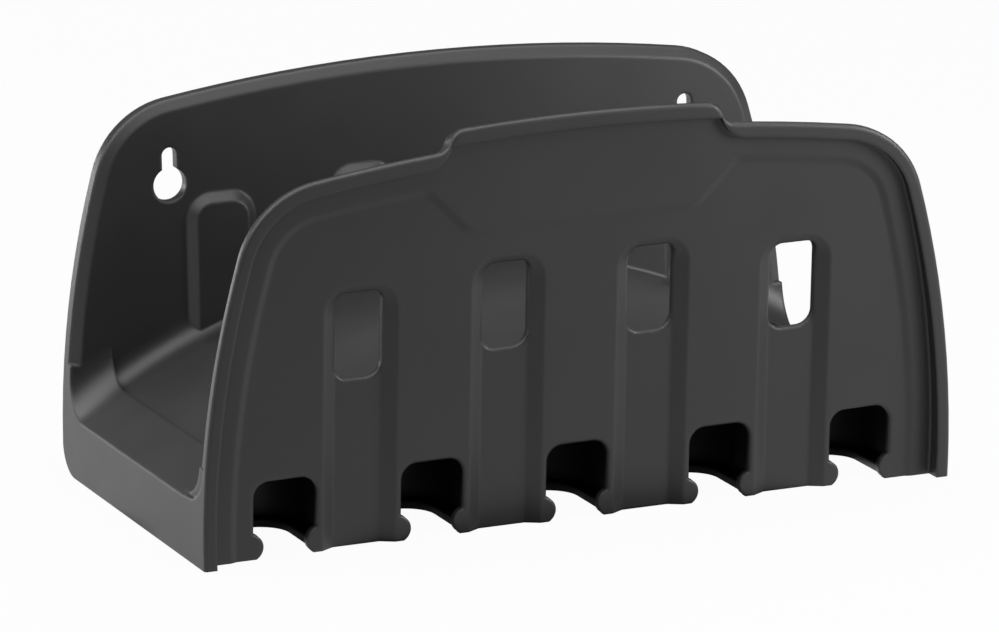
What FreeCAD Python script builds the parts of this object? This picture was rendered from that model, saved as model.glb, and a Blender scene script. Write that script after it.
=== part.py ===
import FreeCAD, Part
import math
import os
import Sketcher
from FreeCAD import Placement, Rotation, Vector

# Wall hanger for a garden hose, moulded in one piece.
# The hose lies over an arched saddle between a back wall, which hangs on two screws, and a front wall
# that leans forward. Five doorways along the foot of the front wall hold hose fittings by their necks.
# Frame: X along the width, +Y towards the wall, +Z up. The origin is under the middle of the part.

NODE = "hose_hanger"

SIZES = [
    # outline shared by both walls, seen from the front
    ("width", 269.5),
    ("depth", 143.0),
    ("height", 141.0),
    ("side_radius", 345.0),
    ("side_low", 10.0),
    ("crown_radius", 640.0),
    ("corner_radius", 32.0),
    # raised middle of the front wall's top edge
    ("tab_rise", 6.8),
    ("tab_width", 96.6),
    ("tab_round", 5.3),
    # front wall: rim, leaning panel and its sunk field
    ("skin", 2.6),
    ("rim_width", 4.4),
    ("rim_proud", 6.0),
    ("rim_run", 6.7),
    ("rim_edge", 0.7),
    ("lip_thick", 2.8),
    ("lip_inset", 1.8),
    ("panel_run", 10.5),
    ("field_depth", 0.8),
    ("field_slope", 70.0),
    ("field_border", 7.0),
    ("plate_foot", 105.5),
    ("plate_top_width", 113.0),
    ("plate_foot_width", 77.0),
    ("plate_round", 4.5),
    # back wall
    ("back_depth", 6.8),
    ("bevel_width", 3.6),
    ("bevel_depth", 2.4),
    ("foot_round", 10.5),
    # saddle
    ("saddle_end", 21.0),
    ("saddle_crown", 63.0),
    ("trough_round", 12.5),
    ("strip_width", 16.0),
    ("strip_step", 1.8),
    ("channel_round", 8.0),
    ("channel_chamfer", 4.5),
    # doorways for the fittings
    ("slot_pitch", 52.0),
    ("slot_width", 22.0),
    ("slot_height", 26.4),
    ("slot_round", 5.5),
    ("slot_edge", 0.7),
    ("lip_reach", 3.4),
    ("lip_round", 4.7),
    # ledges with a notch for the fitting's neck
    ("ledge_thick", 2.7),
    ("ledge_width", 7.0),
    ("notch_width", 22.6),
    ("notch_reach", 37.5),
    ("pocket_wall", 2.2),
    # grooves between the doorways, each with a window
    ("groove_width", 25.8),
    ("groove_depth", 2.8),
    ("groove_slope", 59.0),
    ("groove_top", 90.0),
    ("groove_corner", 9.0),
    ("window_width", 16.8),
    ("window_height", 30.4),
    ("window_foot", 57.1),
    ("window_round", 4.0),
    ("window_low_round", 5.5),
    ("inner_lift", 4.6),
    # keyholes and raised pads on the back wall
    ("keyhole_spacing", 192.0),
    ("keyhole_height", 98.0),
    ("keyhole_radius", 6.0),
    ("neck_width", 5.5),
    ("neck_top", 111.0),
    ("keyhole_rim", 4.0),
    ("keyhole_pad", 1.8),
    ("boss_width", 25.0),
    ("boss_top", 94.0),
    ("boss_round", 9.0),
    ("boss_proud", 3.0),
    ("boss_slope", 47.0),
]

FITTINGS = (-2, -1, 0, 1, 2)
GROOVES = (-1.5, -0.5, 0.5, 1.5)
CLEAR = 60.0
BELOW = -15.0
MOST = 0.9


class Size:
    """A length with the expression on the sheet that gives it."""

    def __init__(self, value, text):
        self.value = value
        self.text = text

    def join(self, other, sign, value):
        return Size(value, "(%s %s %s)" % (self.text, sign, other.text))

    def __add__(self, other):
        other = as_size(other)
        return self.join(other, "+", self.value + other.value)

    def __sub__(self, other):
        other = as_size(other)
        return self.join(other, "-", self.value - other.value)

    def __mul__(self, other):
        other = as_size(other)
        return self.join(other, "*", self.value * other.value)

    def __truediv__(self, other):
        other = as_size(other)
        return self.join(other, "/", self.value / other.value)

    def __radd__(self, other):
        return as_size(other) + self

    def __rsub__(self, other):
        return as_size(other) - self

    def __rmul__(self, other):
        return as_size(other) * self

    def __neg__(self):
        return as_size(0) - self

    def root(self):
        return Size(math.sqrt(self.value), "sqrt(%s)" % self.text)


def as_size(number):
    if isinstance(number, Size):
        return number
    return Size(float(number), "(%r)" % float(number))


doc = FreeCAD.newDocument("HoseHanger")
sheet = doc.addObject("Spreadsheet::Sheet", "Sizes")
for row, (alias, value) in enumerate(SIZES, start=1):
    sheet.set("A%d" % row, alias)
    sheet.set("B%d" % row, str(value))
    sheet.setAlias("B%d" % row, alias)
doc.recompute()


def size(alias):
    return Size(float(sheet.get(alias)), "Sizes." + alias)


body = doc.addObject("PartDesign::Body", "Hanger")
body.Label = NODE

# places that several features share
half_width = size("width") / 2
wall_top = size("height") - size("tab_rise")
wall_y = size("depth") / 2
back_face_y = wall_y - size("back_depth")
rim_foot_y = size("rim_run") - size("depth") / 2
border_foot_y = rim_foot_y + size("rim_proud")
panel_thick = size("skin") + size("field_depth")
inner_foot_y = border_foot_y + panel_thick
side_center_x = half_width - size("side_radius")
crown_center_z = wall_top - size("crown_radius")
saddle_rise = size("saddle_crown") - size("saddle_end")
saddle_radius = (half_width * half_width + saddle_rise * saddle_rise) / (2 * saddle_rise)
saddle_center_z = size("saddle_crown") - saddle_radius
floor_thick = size("skin") + size("strip_step")


def lean_angle(run):
    return "atan(Sizes.%s / Sizes.height)" % run


def lean_degrees(run):
    return math.degrees(math.atan(size(run).value / size("height").value))


def origin_plane(role):
    return next(plane for plane in body.Origin.OriginFeatures if plane.Role == role)


def attach(item, role, offset, run=None):
    """Put a sketch or plane on an origin plane, moved along its normal and leaning forward by run."""
    item.AttachmentSupport = [(origin_plane(role), "")]
    item.MapMode = "FlatFace"
    turn = Rotation(Vector(1, 0, 0), lean_degrees(run) if run else 0)
    item.AttachmentOffset = Placement(Vector(0, 0, offset.value), turn)
    item.setExpression("AttachmentOffset.Base.z", offset.text)
    if run:
        item.setExpression("AttachmentOffset.Rotation.Angle", lean_angle(run))
    return item


def front_sketch(name, y, run=None):
    """A sketch seen from the front at a depth y, with X across and Z up."""
    return attach(body.newObject("Sketcher::SketchObject", name), "XZ_Plane", -y, run)


def dimension(sketch, kind, *places_and_size):
    places, length = places_and_size[:-1], places_and_size[-1]
    index = sketch.addConstraint(Sketcher.Constraint(kind, *places, length.value))
    sketch.setExpression("Constraints[%d]" % index, length.text)


def pin(sketch, geometry, end, x, z):
    """Hold one point of a sketch at x, z from its origin."""
    dimension(sketch, "DistanceX", -1, 1, geometry, end, as_size(x))
    dimension(sketch, "DistanceY", -1, 1, geometry, end, as_size(z))


def point(x, z):
    return Vector(as_size(x).value, as_size(z).value, 0)


def add_line(sketch, start, end):
    return sketch.addGeometry(Part.LineSegment(point(*start), point(*end)), False)


def add_arc(sketch, center, radius, start_degrees, end_degrees):
    circle = Part.Circle(point(*center), Vector(0, 0, 1), radius.value)
    limits = math.radians(start_degrees), math.radians(end_degrees)
    arc = sketch.addGeometry(Part.ArcOfCircle(circle, *limits), False)
    dimension(sketch, "Radius", arc, radius)
    return arc


def tie(sketch, kind, *places):
    sketch.addConstraint(Sketcher.Constraint(kind, *places))


def polygon(sketch, corners):
    """A closed outline of straight lines with every corner pinned."""
    count = len(corners)
    lines = [add_line(sketch, corners[i], corners[(i + 1) % count]) for i in range(count)]
    for i in range(count):
        tie(sketch, "Coincident", lines[i], 2, lines[(i + 1) % count], 1)
        pin(sketch, lines[i], 1, *corners[i])
    return lines


def rounded_box(sketch, left, right, foot, top, low_round, top_round):
    """A box with rounded corners, given by its sides."""
    if low_round is None:
        lines = [((right, foot), (right, top - top_round)), ((left, top - top_round), (left, foot))]
    else:
        lines = [((right, foot + low_round), (right, top - top_round)),
                 ((left, top - top_round), (left, foot + low_round))]
    rise = add_line(sketch, *lines[0])
    fall = add_line(sketch, *lines[1])
    cap = add_line(sketch, (right - top_round, top), (left + top_round, top))
    top_right = add_arc(sketch, (right - top_round, top - top_round), top_round, 0, 90)
    top_left = add_arc(sketch, (left + top_round, top - top_round), top_round, 90, 180)
    for chain in ((rise, 2, top_right, 1), (top_right, 2, cap, 1), (cap, 2, top_left, 1),
                  (top_left, 2, fall, 1)):
        tie(sketch, "Tangent", *chain)
    tie(sketch, "Vertical", rise)
    tie(sketch, "Horizontal", cap)
    dimension(sketch, "DistanceX", -1, 1, rise, 1, right)
    dimension(sketch, "DistanceX", -1, 1, fall, 1, left)
    dimension(sketch, "DistanceY", -1, 1, cap, 1, top)
    if low_round is None:
        sill = add_line(sketch, (left, foot), (right, foot))
        tie(sketch, "Coincident", fall, 2, sill, 1)
        tie(sketch, "Coincident", sill, 2, rise, 1)
    else:
        sill = add_line(sketch, (left + low_round, foot), (right - low_round, foot))
        low_left = add_arc(sketch, (left + low_round, foot + low_round), low_round, 180, 270)
        low_right = add_arc(sketch, (right - low_round, foot + low_round), low_round, 270, 360)
        for chain in ((fall, 2, low_left, 1), (low_left, 2, sill, 1), (sill, 2, low_right, 1),
                      (low_right, 2, rise, 1)):
            tie(sketch, "Tangent", *chain)
    tie(sketch, "Horizontal", sill)
    dimension(sketch, "DistanceY", -1, 1, sill, 1, foot)


def circles_meet(first, first_radius, second, second_radius):
    """The right-hand point where two circles in the front view cross."""
    span = second - first
    along = (first_radius ** 2 - second_radius ** 2 + span.Length ** 2) / (2 * span.Length)
    across = math.sqrt(first_radius ** 2 - along ** 2)
    unit = span / span.Length
    sides = [first + unit * along + Vector(-unit.y, unit.x, 0) * across * sign for sign in (1, -1)]
    return max(sides, key=lambda place: place.x)


def bearing(start, end):
    return math.degrees(math.atan2(end.y - start.y, end.x - start.x))


def outline(sketch, inset, foot, top):
    """The walls' outline moved inwards by inset: curved sides, round corners and an arched top edge.

    The top edge is plain, or rises to the tab, or dips under the name plate.
    """
    inset = as_size(inset)
    side_radius = size("side_radius") - inset
    corner_radius = size("corner_radius") - inset
    crown_radius = size("crown_radius") - inset
    crown_center = (as_size(0), crown_center_z)
    right_center = (side_center_x, size("side_low"))
    left_center = (-side_center_x, size("side_low"))
    corner = circles_meet(point(*right_center), side_radius.value - corner_radius.value,
                          point(*crown_center), crown_radius.value - corner_radius.value)
    side_turn = bearing(point(*right_center), corner)
    crown_turn = bearing(point(*crown_center), corner)
    low_turn = math.degrees(math.asin((as_size(foot).value - size("side_low").value) / side_radius.value))

    right_side = add_arc(sketch, right_center, side_radius, low_turn, side_turn)
    left_side = add_arc(sketch, left_center, side_radius, 180 - side_turn, 180 - low_turn)
    right_corner = add_arc(sketch, (corner.x, corner.y), corner_radius, side_turn, crown_turn)
    left_corner = add_arc(sketch, (-corner.x, corner.y), corner_radius, 180 - crown_turn, 180 - side_turn)
    chains = [(right_side, 2, right_corner, 1), (left_corner, 2, left_side, 1)]
    crowns = []
    if top == "tab":
        foot_round = size("tab_round") + inset
        top_round = size("tab_round") - inset
        tab_half = size("tab_width") / 2
        tab_radius = crown_radius + size("tab_rise")
        turn = math.degrees(math.acos(1 - size("tab_rise").value / (2 * size("tab_round").value)))
        lean = math.degrees(math.asin(tab_half.value / (crown_radius.value + size("tab_rise").value / 2)))
        middle = Vector(tab_half.value, crown_center_z.value
                        + (crown_radius.value + size("tab_rise").value / 2) * math.cos(math.radians(lean)), 0)
        heading = math.radians(-90 - turn - lean)
        foot_center = middle - Vector(math.cos(heading), math.sin(heading), 0) * foot_round.value
        top_center = middle + Vector(math.cos(heading), math.sin(heading), 0) * top_round.value
        foot_turn = bearing(point(*crown_center), foot_center)
        top_turn = bearing(point(*crown_center), top_center)
        swing = 90 - turn - lean
        right_crown = add_arc(sketch, crown_center, crown_radius, crown_turn, foot_turn)
        left_crown = add_arc(sketch, crown_center, crown_radius, 180 - foot_turn, 180 - crown_turn)
        tab_crown = add_arc(sketch, crown_center, tab_radius, top_turn, 180 - top_turn)
        right_foot = add_arc(sketch, (foot_center.x, foot_center.y), foot_round, swing - 180, foot_turn - 180)
        left_foot = add_arc(sketch, (-foot_center.x, foot_center.y), foot_round, -foot_turn, -swing)
        right_top = add_arc(sketch, (top_center.x, top_center.y), top_round, swing, top_turn)
        left_top = add_arc(sketch, (-top_center.x, top_center.y), top_round, 180 - top_turn, 180 - swing)
        chains += [(right_corner, 2, right_crown, 1), (right_crown, 2, right_foot, 2),
                   (right_foot, 1, right_top, 1), (right_top, 2, tab_crown, 1),
                   (tab_crown, 2, left_top, 1), (left_top, 2, left_foot, 2),
                   (left_foot, 1, left_crown, 1), (left_crown, 2, left_corner, 1)]
        dimension(sketch, "DistanceX", -1, 1, right_top, 1, tab_half)
        dimension(sketch, "DistanceX", -1, 1, left_top, 2, -tab_half)
        crowns = [right_crown, tab_crown, left_crown]
    elif top == "dip":
        bend = size("plate_round")
        high_x = size("plate_top_width") / 2
        high_z = crown_center_z + ((crown_radius - bend) * (crown_radius - bend) - high_x * high_x).root()
        low_x = size("plate_foot_width") / 2
        low_z = size("plate_foot") + bend
        high, low = point(high_x, high_z), point(low_x, low_z)
        swing = math.degrees(math.asin(2 * bend.value / (low - high).Length))
        heading = bearing(high, low) % 360 + swing
        high_turn = bearing(point(*crown_center), high)
        right_crown = add_arc(sketch, crown_center, crown_radius, crown_turn, high_turn)
        left_crown = add_arc(sketch, crown_center, crown_radius, 180 - high_turn, 180 - crown_turn)
        right_high = add_arc(sketch, (high_x, high_z), bend, high_turn, heading - 90)
        left_high = add_arc(sketch, (-high_x, high_z), bend, 270 - heading, 180 - high_turn)
        right_low = add_arc(sketch, (low_x, low_z), bend, 270, heading + 90)
        left_low = add_arc(sketch, (-low_x, low_z), bend, 90 - heading, -90)
        ends = [(sketch.getPoint(right_high, 2), sketch.getPoint(right_low, 2)),
                (sketch.getPoint(left_low, 1), sketch.getPoint(left_high, 1)),
                (sketch.getPoint(right_low, 1), sketch.getPoint(left_low, 2))]
        right_slant, left_slant, ledge = [add_line(sketch, (a.x, a.y), (b.x, b.y)) for a, b in ends]
        chains += [(right_corner, 2, right_crown, 1), (right_crown, 2, right_high, 1),
                   (right_high, 2, right_slant, 1), (right_slant, 2, right_low, 2), (right_low, 1, ledge, 1),
                   (ledge, 2, left_low, 2), (left_low, 1, left_slant, 1), (left_slant, 2, left_high, 1),
                   (left_high, 2, left_crown, 1), (left_crown, 2, left_corner, 1)]
        for arc, x in ((right_high, high_x), (left_high, -high_x), (right_low, low_x), (left_low, -low_x)):
            dimension(sketch, "DistanceX", -1, 1, arc, 3, x)
        dimension(sketch, "DistanceY", -1, 1, ledge, 1, size("plate_foot"))
        tie(sketch, "Horizontal", ledge)
        crowns = [right_crown, left_crown]
    else:
        crown = add_arc(sketch, crown_center, crown_radius, crown_turn, 180 - crown_turn)
        chains += [(right_corner, 2, crown, 1), (crown, 2, left_corner, 1)]
        crowns = [crown]
    for chain in chains:
        tie(sketch, "Tangent", *chain)
    for arc in crowns:
        pin(sketch, arc, 3, *crown_center)
    pin(sketch, right_side, 3, *right_center)
    pin(sketch, left_side, 3, *left_center)
    return left_side, right_side


def closed_outline(sketch, inset, foot, top):
    """The outline closed by a level line at its foot."""
    left_side, right_side = outline(sketch, inset, foot, top)
    ends = sketch.Geometry[left_side].EndPoint, sketch.Geometry[right_side].StartPoint
    sill = add_line(sketch, (ends[0].x, ends[0].y), (ends[1].x, ends[1].y))
    tie(sketch, "Coincident", left_side, 2, sill, 1)
    tie(sketch, "Coincident", sill, 2, right_side, 1)
    tie(sketch, "Horizontal", sill)
    dimension(sketch, "DistanceY", -1, 1, sill, 1, as_size(foot))


def saddle_arc(sketch, drop, left, right):
    """An arc along the saddle between two places across the width, drop below its surface."""
    radius = saddle_radius - drop
    turns = [math.degrees(math.acos(as_size(x).value / radius.value)) for x in (right, left)]
    arc = add_arc(sketch, (0, saddle_center_z), radius, *turns)
    pin(sketch, arc, 3, 0, saddle_center_z)
    return arc


def region_above_saddle(sketch, drop, reach, top):
    """Everything above the saddle out to reach on both sides."""
    floor = saddle_arc(sketch, drop, -reach, reach)
    start, end = sketch.Geometry[floor].StartPoint, sketch.Geometry[floor].EndPoint
    left = add_line(sketch, (end.x, end.y), (-reach, top))
    cap = add_line(sketch, (-reach, top), (reach, top))
    right = add_line(sketch, (reach, top), (start.x, start.y))
    for chain in ((floor, 2, left, 1), (left, 2, cap, 1), (cap, 2, right, 1), (right, 2, floor, 1)):
        tie(sketch, "Coincident", *chain)
    tie(sketch, "Vertical", left)
    tie(sketch, "Vertical", right)
    pin(sketch, cap, 1, -reach, top)
    pin(sketch, cap, 2, reach, top)


def feature(kind, name, sketch, **settings):
    """A pad or pocket of a sketch. A length given as a Size is bound to the sheet."""
    item = body.newObject("PartDesign::" + kind, name)
    item.Profile = sketch
    for key, value in settings.items():
        if isinstance(value, Size):
            setattr(item, key, value.value)
            item.setExpression(key, value.text)
        else:
            setattr(item, key, value)
    doc.recompute()
    return item


def dress(kind, name, base, edges, **settings):
    """A fillet or chamfer on the named edges of the feature before it."""
    item = body.newObject("PartDesign::" + kind, name)
    item.Base = (base, edges)
    for key, value in settings.items():
        if isinstance(value, Size):
            setattr(item, key, value.value)
            item.setExpression(key, value.text)
        else:
            setattr(item, key, value)
    doc.recompute()
    return item


def edges_where(item, test):
    """Names of the edges of a feature that pass a test on their box."""
    return ["Edge%d" % i for i, edge in enumerate(item.Shape.Edges, start=1) if test(edge, edge.BoundBox)]


def near(value, place, slack=0.05):
    return abs(value - as_size(place).value) < slack


# The block: the outline with its tab over the whole depth, its front cut to the rim's lean.
sketch = front_sketch("block_outline", -wall_y)
closed_outline(sketch, 0, 0, "tab")
feature("Pad", "block", sketch, Length=size("depth"), Reversed=True)

beyond = half_width + CLEAR
above = size("height") + CLEAR
sketch = front_sketch("rim_front", rim_foot_y, "rim_run")
polygon(sketch, [(-beyond, -CLEAR), (beyond, -CLEAR), (beyond, above), (-beyond, above)])
rim_lean = feature("Pocket", "rim_lean", sketch, Type="ThroughAll", Reversed=True)
front_edges = edges_where(rim_lean, lambda edge, box: box.YMax < rim_foot_y.value + 1 and box.ZMax > 1)
rim_round = dress("Chamfer", "rim_round", rim_lean, front_edges, Size=size("rim_edge"))
rear_foot = edges_where(rim_round, lambda edge, box: near(box.YMin, wall_y) and near(box.ZMax, 0))
dress("Fillet", "foot_round", rim_round, rear_foot, Radius=size("foot_round"))

# The trough for the hose, from the back wall to the leaning inner face of the front wall.
inner_plane = attach(body.newObject("PartDesign::Plane", "inner_plane"), "XZ_Plane", -inner_foot_y,
                     "panel_run")
sketch = front_sketch("trough_profile", back_face_y)
region_above_saddle(sketch, 0, beyond, above)
feature("Pocket", "trough", sketch, Type="UpToFace", UpToFace=(inner_plane, [""]), Reversed=True)

# Only the front wall keeps the tab.
sketch = front_sketch("back_crown", wall_y)
crown = add_arc(sketch, (0, crown_center_z), size("crown_radius"), 75, 105)
pin(sketch, crown, 3, 0, crown_center_z)
start, end = sketch.Geometry[crown].StartPoint, sketch.Geometry[crown].EndPoint
sides = [add_line(sketch, (end.x, end.y), (-beyond, above)),
         add_line(sketch, (beyond, above), (start.x, start.y))]
cap = add_line(sketch, (-beyond, above), (beyond, above))
for chain in ((crown, 2, sides[0], 1), (sides[0], 2, cap, 1), (cap, 2, sides[1], 1),
              (sides[1], 2, crown, 1)):
    tie(sketch, "Coincident", *chain)
tie(sketch, "Vertical", sides[0])
tie(sketch, "Vertical", sides[1])
pin(sketch, cap, 1, -beyond, above)
pin(sketch, cap, 2, beyond, above)
feature("Pocket", "back_top", sketch, Length=size("back_depth"), Reversed=True)

# A bevel runs round the back wall's front edge, above the saddle's curve.
bevel_foot = size("saddle_end") + size("trough_round") + size("strip_step") + size("bevel_width")
rise = bevel_foot - size("side_low")
bevel_x = side_center_x + (size("side_radius") * size("side_radius") - rise * rise).root()
path = front_sketch("bevel_path", back_face_y)
outline(path, 0, bevel_foot, "plain")
sketch = attach(body.newObject("Sketcher::SketchObject", "bevel_profile"), "XY_Plane", bevel_foot)
polygon(sketch, [(bevel_x - size("bevel_width"), back_face_y), (bevel_x, back_face_y + size("bevel_depth")),
                 (bevel_x + size("bevel_width"), back_face_y + 2 * size("bevel_depth")),
                 (bevel_x + size("bevel_width"), back_face_y - size("bevel_depth")),
                 (bevel_x - 2 * size("bevel_width"), back_face_y - size("bevel_depth"))])
bevel = body.newObject("PartDesign::SubtractivePipe", "bevel")
bevel.Profile = sketch
bevel.Spine = (path, ["Edge%d" % i for i in range(1, len(path.Shape.Edges) + 1)])
doc.recompute()


def saddle_edges(item, y_low, y_high, reach, drop):
    """The long edges where the saddle, lowered by drop, meets a wall between two depths."""
    level = size("saddle_crown") - drop

    def chosen(edge, box):
        along = box.XLength > as_size(reach).value and near(box.ZMax, level, 0.2)
        return along and box.ZMin > floor_thick.value and y_low.value < box.YMin and box.YMax < y_high.value

    return edges_where(item, chosen)


span = size("width") * MOST
trough_edges = saddle_edges(bevel, -wall_y, wall_y, span, 0)
dress("Fillet", "trough_rounds", bevel, trough_edges, Radius=size("trough_round"))

# The saddle's middle lies a step lower than the strips at its ends.
channel_reach = half_width - size("strip_width")
sketch = front_sketch("channel_profile", back_face_y)
channel_top = size("saddle_crown") + 2 * size("trough_round")
region_above_saddle(sketch, size("strip_step"), channel_reach, channel_top)
channel = feature("Pocket", "channel", sketch, Type="UpToFace", UpToFace=(inner_plane, [""]), Reversed=True)
span = 2 * channel_reach * MOST
rear_edges = saddle_edges(channel, as_size(0), wall_y, span, size("strip_step"))
channel_rear = dress("Fillet", "channel_rear", channel, rear_edges, Radius=size("channel_round"))
front_edges = saddle_edges(channel_rear, -wall_y, as_size(0), span, size("strip_step"))
dress("Chamfer", "channel_front", channel_rear, front_edges, Size=size("channel_chamfer"))

# Behind the rim's lip the front wall is set in from the outline.
lip_plane = attach(body.newObject("PartDesign::Plane", "lip_plane"), "XZ_Plane",
                   -(rim_foot_y + size("lip_thick")), "rim_run")
lip_foot = size("saddle_end") + size("trough_round")
sketch = front_sketch("lip_profile", inner_foot_y + size("trough_round"))
lip_sides = outline(sketch, size("lip_inset"), lip_foot, "tab")
ends = sketch.Geometry[lip_sides[0]].EndPoint, sketch.Geometry[lip_sides[1]].StartPoint
left_foot = add_line(sketch, (ends[0].x, lip_foot), (-beyond, lip_foot))
left = add_line(sketch, (-beyond, lip_foot), (-beyond, above))
cap = add_line(sketch, (-beyond, above), (beyond, above))
right = add_line(sketch, (beyond, above), (beyond, lip_foot))
right_foot = add_line(sketch, (beyond, lip_foot), (ends[1].x, lip_foot))
for chain in ((lip_sides[0], 2, left_foot, 1), (left_foot, 2, left, 1), (left, 2, cap, 1), (cap, 2, right, 1),
              (right, 2, right_foot, 1), (right_foot, 2, lip_sides[1], 1)):
    tie(sketch, "Coincident", *chain)
for line in (left_foot, right_foot):
    tie(sketch, "Horizontal", line)
pin(sketch, left, 1, -beyond, lip_foot)
pin(sketch, left, 2, -beyond, above)
pin(sketch, right, 1, beyond, above)
pin(sketch, right, 2, beyond, lip_foot)
feature("Pocket", "lip", sketch, Type="UpToFace", UpToFace=(lip_plane, [""]), Reversed=True)

# At its ends the saddle curves up to the back of the lip.
lip_y = rim_foot_y + size("lip_thick") - size("rim_run") * lip_foot / size("height")
curve_y = lip_y + size("trough_round")
end_floor = size("saddle_end") + size("strip_step") / 2
for side, outward in ((-1, False), (1, True)):
    sketch = body.newObject("Sketcher::SketchObject", "saddle_end_profile")
    attach(sketch, "YZ_Plane", side * (half_width - size("lip_inset")))
    curve = add_arc(sketch, (curve_y, end_floor + size("trough_round")), size("trough_round"), 180, 270)
    pin(sketch, curve, 3, curve_y, end_floor + size("trough_round"))
    far_y = inner_foot_y + size("trough_round")
    top = lip_foot + size("strip_step")
    floor = add_line(sketch, (curve_y, end_floor), (far_y, end_floor))
    rear = add_line(sketch, (far_y, end_floor), (far_y, top))
    cap = add_line(sketch, (far_y, top), (lip_y, top))
    rise = add_line(sketch, (lip_y, top), (lip_y, end_floor + size("trough_round")))
    tie(sketch, "Tangent", curve, 2, floor, 1)
    for chain in ((floor, 2, rear, 1), (rear, 2, cap, 1), (cap, 2, rise, 1)):
        tie(sketch, "Coincident", *chain)
    tie(sketch, "Tangent", rise, 2, curve, 1)
    tie(sketch, "Horizontal", floor)
    pin(sketch, rear, 2, far_y, top)
    tie(sketch, "Vertical", rear)
    tie(sketch, "Horizontal", cap)
    tie(sketch, "Vertical", rise)
    feature("Pocket", "saddle_tail", sketch, Type="ThroughAll", Reversed=outward)

# Raised pads on the back wall, in line with the grooves in front.
sketch = front_sketch("boss_profile", back_face_y)
for place in GROOVES:
    middle = place * size("slot_pitch")
    lift = size("inner_lift") * (1 if abs(place) < 1 else 0)
    rounded_box(sketch, middle - size("boss_width") / 2, middle + size("boss_width") / 2,
                size("ledge_thick"), size("boss_top") + lift, None, size("boss_round"))
feature("Pad", "bosses", sketch, Length=size("boss_proud"), TaperAngle=-size("boss_slope"))

# Hollow under the saddle and behind the back wall, open below and towards the wall.
ceiling_radius = saddle_radius - floor_thick
sketch = front_sketch("hollow_profile", wall_y)
inner_side = size("side_radius") - size("skin")
side_center = (side_center_x, size("side_low"))
eave = circles_meet(point(*side_center), inner_side.value, point(0, saddle_center_z), ceiling_radius.value)
eave_turn = bearing(point(*side_center), eave)
low_turn = -math.degrees(math.asin(size("side_low").value * 2 / inner_side.value))
right = add_arc(sketch, side_center, inner_side, low_turn, eave_turn)
left = add_arc(sketch, (-side_center_x, size("side_low")), inner_side, 180 - eave_turn, 180 - low_turn)
pin(sketch, right, 3, *side_center)
pin(sketch, left, 3, -side_center_x, size("side_low"))
ceiling = saddle_arc(sketch, floor_thick, -eave.x, eave.x)
ends = sketch.Geometry[left].EndPoint, sketch.Geometry[right].StartPoint
sill = add_line(sketch, (ends[0].x, ends[0].y), (ends[1].x, ends[1].y))
for chain in ((right, 2, ceiling, 1), (ceiling, 2, left, 1), (left, 2, sill, 1), (sill, 2, right, 1)):
    tie(sketch, "Coincident", *chain)
tie(sketch, "Horizontal", sill)
dimension(sketch, "DistanceY", -1, 1, sill, 1, -size("side_low"))
feature("Pocket", "hollow", sketch, Type="UpToFace", UpToFace=(inner_plane, [""]), Reversed=True)

sketch = front_sketch("back_hollow_profile", wall_y)
closed_outline(sketch, size("skin"), -size("side_low"), "plain")
feature("Pocket", "back_hollow", sketch, Length=size("back_depth") - size("skin"), Reversed=True)

# Keyholes for the two screws, each in a thicker pad behind the back wall.
pad_sketch = front_sketch("keyhole_pad_profile", back_face_y + size("skin"))
sketch = front_sketch("keyhole_profile", wall_y)
neck_half = size("neck_width") / 2
neck_turn = math.degrees(math.asin(neck_half.value / size("keyhole_radius").value))
pad_half = size("keyhole_radius") + size("keyhole_rim")
cap_z = size("neck_top") - neck_half
for side in (-1, 1):
    middle = side * size("keyhole_spacing") / 2
    rounded_box(pad_sketch, middle - pad_half, middle + pad_half, size("keyhole_height") - pad_half,
                size("neck_top") + size("keyhole_rim"), pad_half / 2, pad_half / 2)
    neck_foot = size("keyhole_height") + size("keyhole_radius")
    ring = add_arc(sketch, (middle, size("keyhole_height")), size("keyhole_radius"),
                   90 + neck_turn, 450 - neck_turn)
    cap = add_arc(sketch, (middle, cap_z), neck_half, 0, 180)
    rise = add_line(sketch, (middle + neck_half, neck_foot), (middle + neck_half, cap_z))
    fall = add_line(sketch, (middle - neck_half, cap_z), (middle - neck_half, neck_foot))
    tie(sketch, "Coincident", ring, 2, rise, 1)
    tie(sketch, "Tangent", rise, 2, cap, 1)
    tie(sketch, "Tangent", cap, 2, fall, 1)
    tie(sketch, "Coincident", fall, 2, ring, 1)
    tie(sketch, "Vertical", rise)
    pin(sketch, ring, 3, middle, size("keyhole_height"))
    pin(sketch, cap, 3, middle, cap_z)
feature("Pad", "keyhole_pads", pad_sketch, Length=size("keyhole_pad"), Reversed=True)
feature("Pocket", "keyholes", sketch, Length=2 * size("back_depth"), Reversed=True)


def u_ring(sketch, middle, front_y, inner_half, outer_half, apex_y):
    """A U open to the front, seen from above, with its round end behind."""
    center = (middle, apex_y - outer_half)
    outer = add_arc(sketch, center, outer_half, 0, 180)
    inner = add_arc(sketch, center, inner_half, 0, 180)
    pin(sketch, outer, 3, *center)
    pin(sketch, inner, 3, *center)
    arms = []
    for sign, end in ((1, 1), (-1, 2)):
        out_x = middle + sign * outer_half
        in_x = middle + sign * inner_half
        outer_arm = add_line(sketch, (out_x, front_y), (out_x, center[1]))
        inner_arm = add_line(sketch, (in_x, front_y), (in_x, center[1]))
        tip = add_line(sketch, (out_x, front_y), (in_x, front_y))
        tie(sketch, "Tangent", outer_arm, 2, outer, end)
        tie(sketch, "Tangent", inner_arm, 2, inner, end)
        tie(sketch, "Coincident", outer_arm, 1, tip, 1)
        tie(sketch, "Coincident", inner_arm, 1, tip, 2)
        tie(sketch, "Vertical", outer_arm)
        tie(sketch, "Vertical", inner_arm)
        tie(sketch, "Horizontal", tip)
        dimension(sketch, "DistanceY", -1, 1, tip, 1, front_y)


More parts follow.
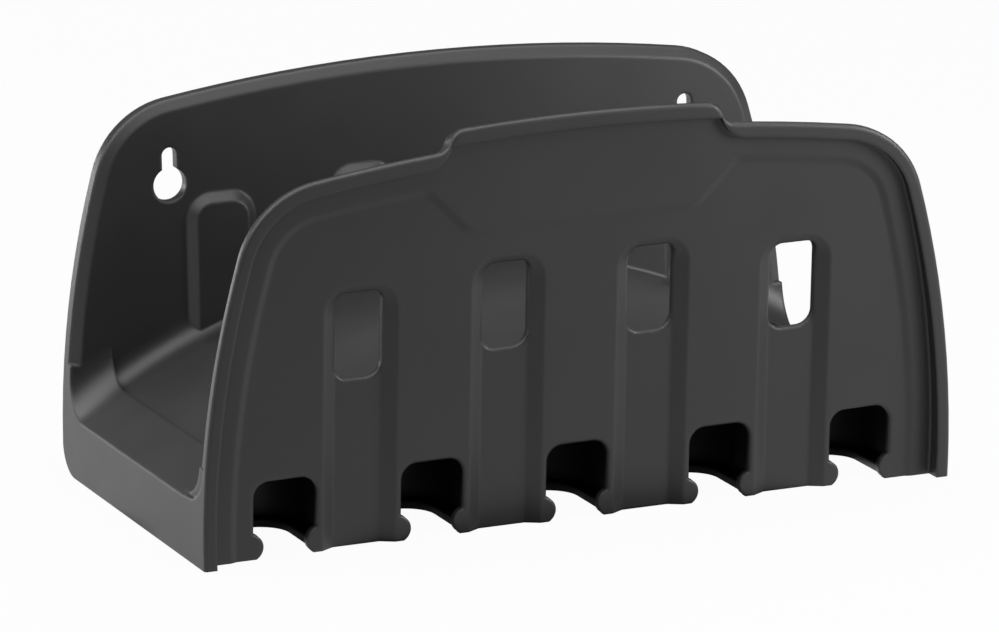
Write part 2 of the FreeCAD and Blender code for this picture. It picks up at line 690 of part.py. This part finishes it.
# Behind each doorway: a pocket with a curved wall up to the saddle, and at its foot a ledge with a notch.
notch_half = size("notch_width") / 2
ledge_half = notch_half + size("ledge_width")
ledge_apex_y = border_foot_y + size("notch_reach") + size("ledge_width")

hanger = body
body = doc.addObject("PartDesign::Body", "PocketWalls")
sketch = attach(body.newObject("Sketcher::SketchObject", "pocket_profile"), "XY_Plane", as_size(0))
for place in FITTINGS:
    u_ring(sketch, place * size("slot_pitch"), rim_foot_y, ledge_half - size("pocket_wall"), ledge_half,
           ledge_apex_y)
feature("Pad", "walls", sketch, Length=size("saddle_crown"))
sketch = front_sketch("wall_top_profile", wall_y)
region_above_saddle(sketch, floor_thick * 0.75, beyond, above)
feature("Pocket", "wall_tops", sketch, Type="ThroughAll", Reversed=True)

body = hanger
sketch = attach(body.newObject("Sketcher::SketchObject", "ledge_profile"), "XY_Plane", as_size(0))
for place in FITTINGS:
    u_ring(sketch, place * size("slot_pitch"), rim_foot_y, notch_half, ledge_half, ledge_apex_y)
feature("Pad", "ledges", sketch, Length=size("ledge_thick"))
pockets = body.newObject("PartDesign::Boolean", "pockets")
pockets.setObjects([doc.getObject("PocketWalls")])
pockets.Type = "Fuse"
doc.recompute()

# The front panel lies behind the rim, with a field sunk into it all round the bare name plate.
sketch = front_sketch("tray_profile", border_foot_y, "panel_run")
closed_outline(sketch, size("rim_width"), BELOW, "tab")
feature("Pocket", "tray", sketch, Type="ThroughAll", Reversed=True)

sketch = front_sketch("field_profile", border_foot_y, "panel_run")
closed_outline(sketch, size("rim_width") + size("field_border"), BELOW, "dip")
feature("Pocket", "field", sketch, Length=size("field_depth"), TaperAngle=-size("field_slope"))

# Grooves between the doorways. Strips on the inner face keep the wall's thickness behind them.
back_sketch = front_sketch("groove_back_profile", inner_foot_y, "panel_run")
groove_sketch = front_sketch("groove_profile", border_foot_y + size("field_depth"), "panel_run")
window_sketch = front_sketch("window_profile", border_foot_y, "panel_run")
for place in GROOVES:
    middle = place * size("slot_pitch")
    lift = size("inner_lift") * (1 if abs(place) < 1 else 0)
    groove_half = size("groove_width") / 2
    back_half = groove_half + size("skin") / 2
    top = size("groove_top") + lift
    foot = as_size(BELOW)
    rounded_box(groove_sketch, middle - groove_half, middle + groove_half, foot, top, None,
                size("groove_corner"))
    rounded_box(back_sketch, middle - back_half, middle + back_half, foot, top + size("skin") / 2, None,
                size("groove_corner"))
    window_foot = size("window_foot") + lift
    window_half = size("window_width") / 2
    rounded_box(window_sketch, middle - window_half, middle + window_half, window_foot,
                window_foot + size("window_height"), size("window_low_round"), size("window_round"))
feature("Pad", "groove_backs", back_sketch, Length=size("groove_depth"), TaperAngle=-size("groove_slope"),
        Reversed=True)
feature("Pocket", "grooves", groove_sketch, Length=size("groove_depth"), TaperAngle=-size("groove_slope"))
through = panel_thick + 2 * size("groove_depth")
feature("Pocket", "windows", window_sketch, Length=through)

# Doorways for the fittings, with a round lip on both sides at the foot.
lip_center_z = size("lip_round") - size("skin") / 4
sketch = front_sketch("doorway_profile", border_foot_y, "panel_run")
for place in FITTINGS:
    middle = place * size("slot_pitch")
    slot_half = size("slot_width") / 2
    corner = slot_half - size("slot_round")
    shoulder = size("slot_height") - size("slot_round")
    lip_x = slot_half - size("lip_reach") + size("lip_round")
    cap = add_line(sketch, (middle + corner, size("slot_height")), (middle - corner, size("slot_height")))
    tie(sketch, "Horizontal", cap)
    dimension(sketch, "DistanceY", -1, 1, cap, 1, size("slot_height"))
    feet = []
    lip_turn = math.degrees(math.acos((lip_x.value - slot_half.value) / size("lip_round").value))
    foot_turn = math.degrees(math.asin(lip_center_z.value / size("lip_round").value))
    for sign in (1, -1):
        wall_x = middle + sign * slot_half
        nub_x = middle + sign * lip_x
        nub_z = lip_center_z.value + size("lip_round").value * math.sin(math.radians(lip_turn))
        jamb = add_line(sketch, (wall_x, nub_z), (wall_x, shoulder))
        quarter = (0, 90) if sign > 0 else (90, 180)
        bend = add_arc(sketch, (middle + sign * corner, shoulder), size("slot_round"), *quarter)
        turns = (180 - lip_turn, 180 + foot_turn) if sign > 0 else (-foot_turn, lip_turn)
        nub = add_arc(sketch, (nub_x, lip_center_z), size("lip_round"), *turns)
        pin(sketch, nub, 3, nub_x, lip_center_z)
        top_end, foot_end = (1, 2) if sign > 0 else (2, 1)
        foot = sketch.getPoint(nub, foot_end)
        leg = add_line(sketch, (foot.x, foot.y), (foot.x, BELOW))
        tie(sketch, "Coincident", jamb, 1, nub, top_end)
        tie(sketch, "Tangent", jamb, 2, bend, top_end)
        tie(sketch, "Tangent", bend, foot_end, cap, top_end)
        tie(sketch, "Coincident", nub, foot_end, leg, 1)
        tie(sketch, "Vertical", jamb)
        tie(sketch, "Vertical", leg)
        dimension(sketch, "DistanceX", -1, 1, jamb, 1, wall_x)
        dimension(sketch, "DistanceY", -1, 1, leg, 1, as_size(0))
        feet.append(leg)
    ends = sketch.getPoint(feet[0], 2), sketch.getPoint(feet[1], 2)
    sill = add_line(sketch, (ends[0].x, ends[0].y), (ends[1].x, ends[1].y))
    tie(sketch, "Coincident", feet[0], 2, sill, 1)
    tie(sketch, "Coincident", feet[1], 2, sill, 2)
    tie(sketch, "Horizontal", sill)
    dimension(sketch, "DistanceY", -1, 1, sill, 1, as_size(BELOW))
doors = feature("Pocket", "doorways", sketch, Length=through)


def on_panel(edge, depth):
    """True for an edge that lies all along a plane at that depth behind the panel's border."""
    lean = math.radians(lean_degrees("panel_run"))
    level = border_foot_y.value * math.cos(lean) + depth.value
    places = [edge.valueAt(edge.FirstParameter), edge.CenterOfMass, edge.valueAt(edge.LastParameter)]
    return all(near(place.y * math.cos(lean) + place.z * math.sin(lean), level, 0.02) for place in places)


def doorway_rim(edge, box):
    offsets = [abs(edge.CenterOfMass.x - place * size("slot_pitch").value) for place in FITTINGS]
    inside = min(offsets) < size("slot_width").value / 2 + 0.1
    above_lips = box.ZMin > 2 * size("lip_round").value - size("skin").value
    below_top = box.ZMax < size("slot_height").value + 1
    return inside and above_lips and below_top and on_panel(edge, size("field_depth"))


dress("Chamfer", "doorway_edges", doors, edges_where(doors, doorway_rim), Size=size("slot_edge"))

# Everything ends level at the foot.
sketch = attach(body.newObject("Sketcher::SketchObject", "foot_plane"), "XY_Plane", as_size(0))
polygon(sketch, [(-beyond, -size("depth")), (beyond, -size("depth")), (beyond, size("depth")),
                 (-beyond, size("depth"))])
feature("Pocket", "foot_level", sketch, Type="ThroughAll")

os.makedirs("parts", exist_ok=True)
for item in doc.Objects:
    if "Invalid" in item.State or "Error" in item.State:
        raise RuntimeError("%s did not build" % item.Name)
shape = body.Shape
if shape.isNull() or not shape.isValid() or len(shape.Solids) != 1:
    raise RuntimeError("the hanger is not one sound solid")
shape.exportStep("parts/%s.step" % NODE)
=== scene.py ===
import bpy
import math
from mathutils import Matrix, Vector

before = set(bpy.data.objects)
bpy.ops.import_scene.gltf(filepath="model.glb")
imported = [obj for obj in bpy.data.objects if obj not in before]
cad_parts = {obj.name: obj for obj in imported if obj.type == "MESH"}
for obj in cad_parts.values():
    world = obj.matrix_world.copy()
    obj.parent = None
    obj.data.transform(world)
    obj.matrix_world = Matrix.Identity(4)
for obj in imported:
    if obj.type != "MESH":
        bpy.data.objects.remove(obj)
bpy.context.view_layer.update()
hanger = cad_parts["hose_hanger"]
scene = bpy.context.scene
print("frame loaded")


# shader maths: a wrapped socket that adds nodes as it is added, multiplied and so on
class Wire:
    def __init__(self, tree, socket):
        self.tree = tree
        self.socket = socket

    def node(self, kind, settings=None, inputs=None, output=0):
        made = self.tree.nodes.new(kind)
        for name, value in (settings or {}).items():
            setattr(made, name, value)
        for name, value in (inputs or {}).items():
            self.feed(made.inputs[name], value)
        return Wire(self.tree, made.outputs[output])

    def feed(self, target, value):
        if isinstance(value, Wire):
            self.tree.links.new(value.socket, target)
        else:
            target.default_value = value

    def maths(self, operation, first, second=0.0):
        return self.node("ShaderNodeMath", {"operation": operation}, {0: first, 1: second})

    def __add__(self, other):
        return self.maths("ADD", self, other)

    def __radd__(self, other):
        return self.maths("ADD", other, self)

    def __sub__(self, other):
        return self.maths("SUBTRACT", self, other)

    def __rsub__(self, other):
        return self.maths("SUBTRACT", other, self)

    def __mul__(self, other):
        return self.maths("MULTIPLY", self, other)

    def __rmul__(self, other):
        return self.maths("MULTIPLY", other, self)

    def limited(self, low, high):
        return self.maths("MINIMUM", self.maths("MAXIMUM", self, low), high)

    # the Mix node keeps its colours in inputs 6 and 7 and its mixed colour in output 2
    def blend(self, first, second):
        return self.node("ShaderNodeMix", {"data_type": "RGBA"}, {0: self, 6: first, 7: second}, 2)


def newMaterial(name):
    made = bpy.data.materials.new(name)
    made.use_nodes = True
    tree = made.node_tree
    shader = tree.nodes["Principled BSDF"]
    return made, tree, shader


# moulded plastic: fine matt grain, slight unevenness, edges a little lighter and smoother; the lighter edges
# are partly wear and partly a painted sheen
plastic = {
    "deep": (0.0145, 0.0146, 0.0148, 1.0),
    "pale": (0.0185, 0.0186, 0.0188, 1.0),
    "rubbedAndSheen": (0.036, 0.0362, 0.0366, 1.0),
    "mottleShare": 0.6,
    "streakShare": 0.4,
    "grain": {"Scale": 2600.0, "Detail": 2.0},
    "mottle": {"Scale": 38.0, "Detail": 4.0},
    "streak": {"Scale": 9.0, "Detail": 1.0},
    "bumpStrength": 0.6,
    "bumpDepth": 0.00005,
    "softEdge": 0.0016,
    "softSamples": 6,
    "edgeGain": 5.0,
    "edgeShare": 0.55,
    "wearSheenLeast": 0.4,
    "wearSheenSpread": 0.9,
    "roughness": 0.43,
    "roughMottle": 0.12,
    "roughGrain": 0.1,
    "roughEdge": 0.06,
    "roughLimits": (0.2, 0.8),
    "specular": 0.5,
}
noiseMiddle = 0.5


def makePlastic():
    made, tree, shader = newMaterial("blackPlastic")
    start = Wire(tree, tree.nodes.new("ShaderNodeTexCoord").outputs["Object"])
    geometry = tree.nodes.new("ShaderNodeNewGeometry")
    grain, mottle, streak = (
        start.node("ShaderNodeTexNoise", {}, {"Vector": start, **plastic[name]})
        for name in ("grain", "mottle", "streak"))
    soft = start.node("ShaderNodeBevel", {"samples": plastic["softSamples"]}, {"Radius": plastic["softEdge"]})
    turn = start.node("ShaderNodeVectorMath", {"operation": "DOT_PRODUCT"},
                      {0: soft, 1: Wire(tree, geometry.outputs["Normal"])}, "Value")
    edge = ((1.0 - turn) * plastic["edgeGain"]).limited(0.0, 1.0) * plastic["edgeShare"]
    # edges lightened towards a paler colour: partly rubbed wear, partly a painted sheen standing in for
    # highlights on rounded edges
    wearAndSheen = edge * (plastic["wearSheenLeast"] + plastic["wearSheenSpread"] * mottle)
    cloud = plastic["mottleShare"] * mottle + plastic["streakShare"] * streak
    ground = cloud.limited(0.0, 1.0).blend(plastic["deep"], plastic["pale"])
    start.feed(shader.inputs["Base Color"], wearAndSheen.limited(0.0, 1.0).blend(ground, plastic["rubbedAndSheen"]))
    rough = plastic["roughness"] + plastic["roughMottle"] * (mottle - noiseMiddle)
    rough = rough + plastic["roughGrain"] * (grain - noiseMiddle) - plastic["roughEdge"] * edge
    start.feed(shader.inputs["Roughness"], rough.limited(*plastic["roughLimits"]))
    bumped = start.node("ShaderNodeBump", {}, {
        "Strength": plastic["bumpStrength"], "Distance": plastic["bumpDepth"], "Height": grain, "Normal": soft})
    start.feed(shader.inputs["Normal"], bumped)
    shader.inputs["Specular IOR Level"].default_value = plastic["specular"]
    return made


blackPlastic = makePlastic()
for place in hanger.material_slots:
    place.material = blackPlastic
print("plastic made")


# floor: white to the camera, with the object's soft shadow left in it; for glossy rays it glows white as a
# painted reflection for the plastic, with a painted shadow under the object and painted shade towards a place
# in front on the left
floorLook = {
    "size": 14.0,
    "color": (0.32, 0.32, 0.32, 1.0),
    "roughness": 0.9,
    "specular": 0.0,
    "white": (1.0, 1.0, 1.0, 1.0),
    "black": (0.0, 0.0, 0.0, 1.0),
    "selfShare": 0.96,
    "mirrorShare": 1.0,
    "shade": (0.125, 0.066, 1.0),
    "shadeGain": 8.0,
    "shadeLeast": 0.1,
    "dimSpot": (-0.12, -0.6, 0.0),
    "dimReach": 0.65,
    "dimLeast": 0.0,
}


def makeFloor():
    bpy.ops.object.select_all(action="DESELECT")
    bpy.ops.mesh.primitive_plane_add(size=floorLook["size"], location=(0, 0, 0))
    made = bpy.context.object
    made.name = "floor"
    look, tree, shader = newMaterial("floorWhite")
    shader.inputs["Base Color"].default_value = floorLook["color"]
    shader.inputs["Roughness"].default_value = floorLook["roughness"]
    shader.inputs["Specular IOR Level"].default_value = floorLook["specular"]
    rays = tree.nodes.new("ShaderNodeLightPath")
    seen, mirrored = (Wire(tree, rays.outputs[name]) for name in ("Is Camera Ray", "Is Glossy Ray"))
    spot = Wire(tree, tree.nodes.new("ShaderNodeTexCoord").outputs["Object"])
    glow, dark = (
        spot.node("ShaderNodeEmission", {}, {"Color": floorLook[name]}) for name in ("white", "black"))
    scaled = spot.node("ShaderNodeVectorMath", {"operation": "DIVIDE"}, {0: spot, 1: floorLook["shade"]})
    reach = spot.node("ShaderNodeVectorMath", {"operation": "LENGTH"}, {0: scaled}, "Value")
    away = spot.node("ShaderNodeVectorMath", {"operation": "DISTANCE"},
                     {0: spot, 1: floorLook["dimSpot"]}, "Value")
    # painted shadow under the object and painted shade towards dimSpot, in the glow that the plastic mirrors
    free = ((reach - 1.0) * floorLook["shadeGain"]).limited(floorLook["shadeLeast"], 1.0)
    lit = free * (away * (1.0 / floorLook["dimReach"])).limited(floorLook["dimLeast"], 1.0)
    image = spot.node("ShaderNodeMixShader", {}, {0: lit * floorLook["mirrorShare"], 1: dark, 2: glow})
    body = spot.node("ShaderNodeMixShader", {}, {0: mirrored, 1: Wire(tree, shader.outputs[0]), 2: image})
    both = spot.node("ShaderNodeMixShader", {}, {0: seen * floorLook["selfShare"], 1: body, 2: glow})
    spot.feed(tree.nodes["Material Output"].inputs["Surface"], both)
    made.data.materials.append(look)
    return made


floor = makeFloor()
print("floor made")


# white behind the object for the camera, a dim room for everything else
room = {
    "seen": (1.0, 1.0, 1.0, 1.0),
    "seenStrength": 1.0,
    "light": (0.9, 0.95, 1.0, 1.0),
    "lightStrength": 0.045,
}


def makeRoom():
    world = bpy.data.worlds.new("room")
    world.use_nodes = True
    scene.world = world
    tree = world.node_tree
    path = Wire(tree, tree.nodes.new("ShaderNodeLightPath").outputs["Is Camera Ray"])
    dim = path.node("ShaderNodeBackground", {}, {"Color": room["light"], "Strength": room["lightStrength"]})
    white = path.node("ShaderNodeBackground", {}, {"Color": room["seen"], "Strength": room["seenStrength"]})
    both = path.node("ShaderNodeMixShader", {}, {0: path, 1: dim, 2: white})
    path.feed(tree.nodes["World Output"].inputs["Surface"], both)


makeRoom()

# lamps: where each stands, in metres from the object's middle, its size and its power
middle = Vector((0.0, 0.0, 0.06))
lamps = {
    "key": {"at": (0.52, -0.42, 0.21), "size": (0.3, 0.3), "power": 4.2, "color": (1.0, 0.995, 0.985)},
    "behind": {"at": (-0.75, 1.25, 0.02), "size": (1.0, 0.24), "power": 4.0, "color": (0.99, 0.995, 1.0)},
    "left": {"at": (-1.2, 0.1, 0.8), "size": (1.0, 1.0), "power": 13.0, "color": (1.0, 1.0, 1.0)},
    "top": {"at": (-0.15, 0.0, 1.5), "size": (2.6, 2.6), "power": 62.0, "color": (1.0, 1.0, 1.0)},
}


def makeLamps():
    for name, lamp in lamps.items():
        data = bpy.data.lights.new(name, "AREA")
        data.shape = "RECTANGLE"
        data.size, data.size_y = lamp["size"]
        data.energy = lamp["power"]
        data.color = lamp["color"]
        made = bpy.data.objects.new(name, data)
        scene.collection.objects.link(made)
        place = middle + Vector(lamp["at"])
        made.location = place
        made.rotation_euler = (middle - place).to_track_quat("-Z", "Y").to_euler()


makeLamps()
print("lights made")


# camera at the photo's angle: to the left of the front and a little above, with a long lens
shot = {
    "target": (0.0, 0.0025, 0.06),
    "azimuth": 22.83,
    "elevation": 14.26,
    "roll": -0.757,
    "distance": 2.343,
    "slide": (-0.00123, -0.00428),
    "lens": 249.57,
    "sensor": 36.0,
    "farthest": 50.0,
}


def makeCamera():
    data = bpy.data.cameras.new("camera")
    data.sensor_width = shot["sensor"]
    data.lens = shot["lens"]
    data.clip_end = shot["farthest"]
    data.dof.use_dof = False
    made = bpy.data.objects.new("camera", data)
    scene.collection.objects.link(made)
    around, above, roll = (math.radians(shot[name]) for name in ("azimuth", "elevation", "roll"))
    ahead = Vector((math.sin(around) * math.cos(above), math.cos(around) * math.cos(above), -math.sin(above)))
    level = Vector((math.cos(around), -math.sin(around), 0.0))
    upright = level.cross(ahead)
    right = math.cos(roll) * level + math.sin(roll) * upright
    up = math.cos(roll) * upright - math.sin(roll) * level
    place = Vector(shot["target"]) - ahead * shot["distance"] + right * shot["slide"][0] + up * shot["slide"][1]
    turned = Matrix((right, up, -ahead)).transposed().to_4x4()
    made.matrix_world = Matrix.Translation(place) @ turned
    scene.camera = made


makeCamera()
scene.view_settings.view_transform = "Standard"
print("camera made")
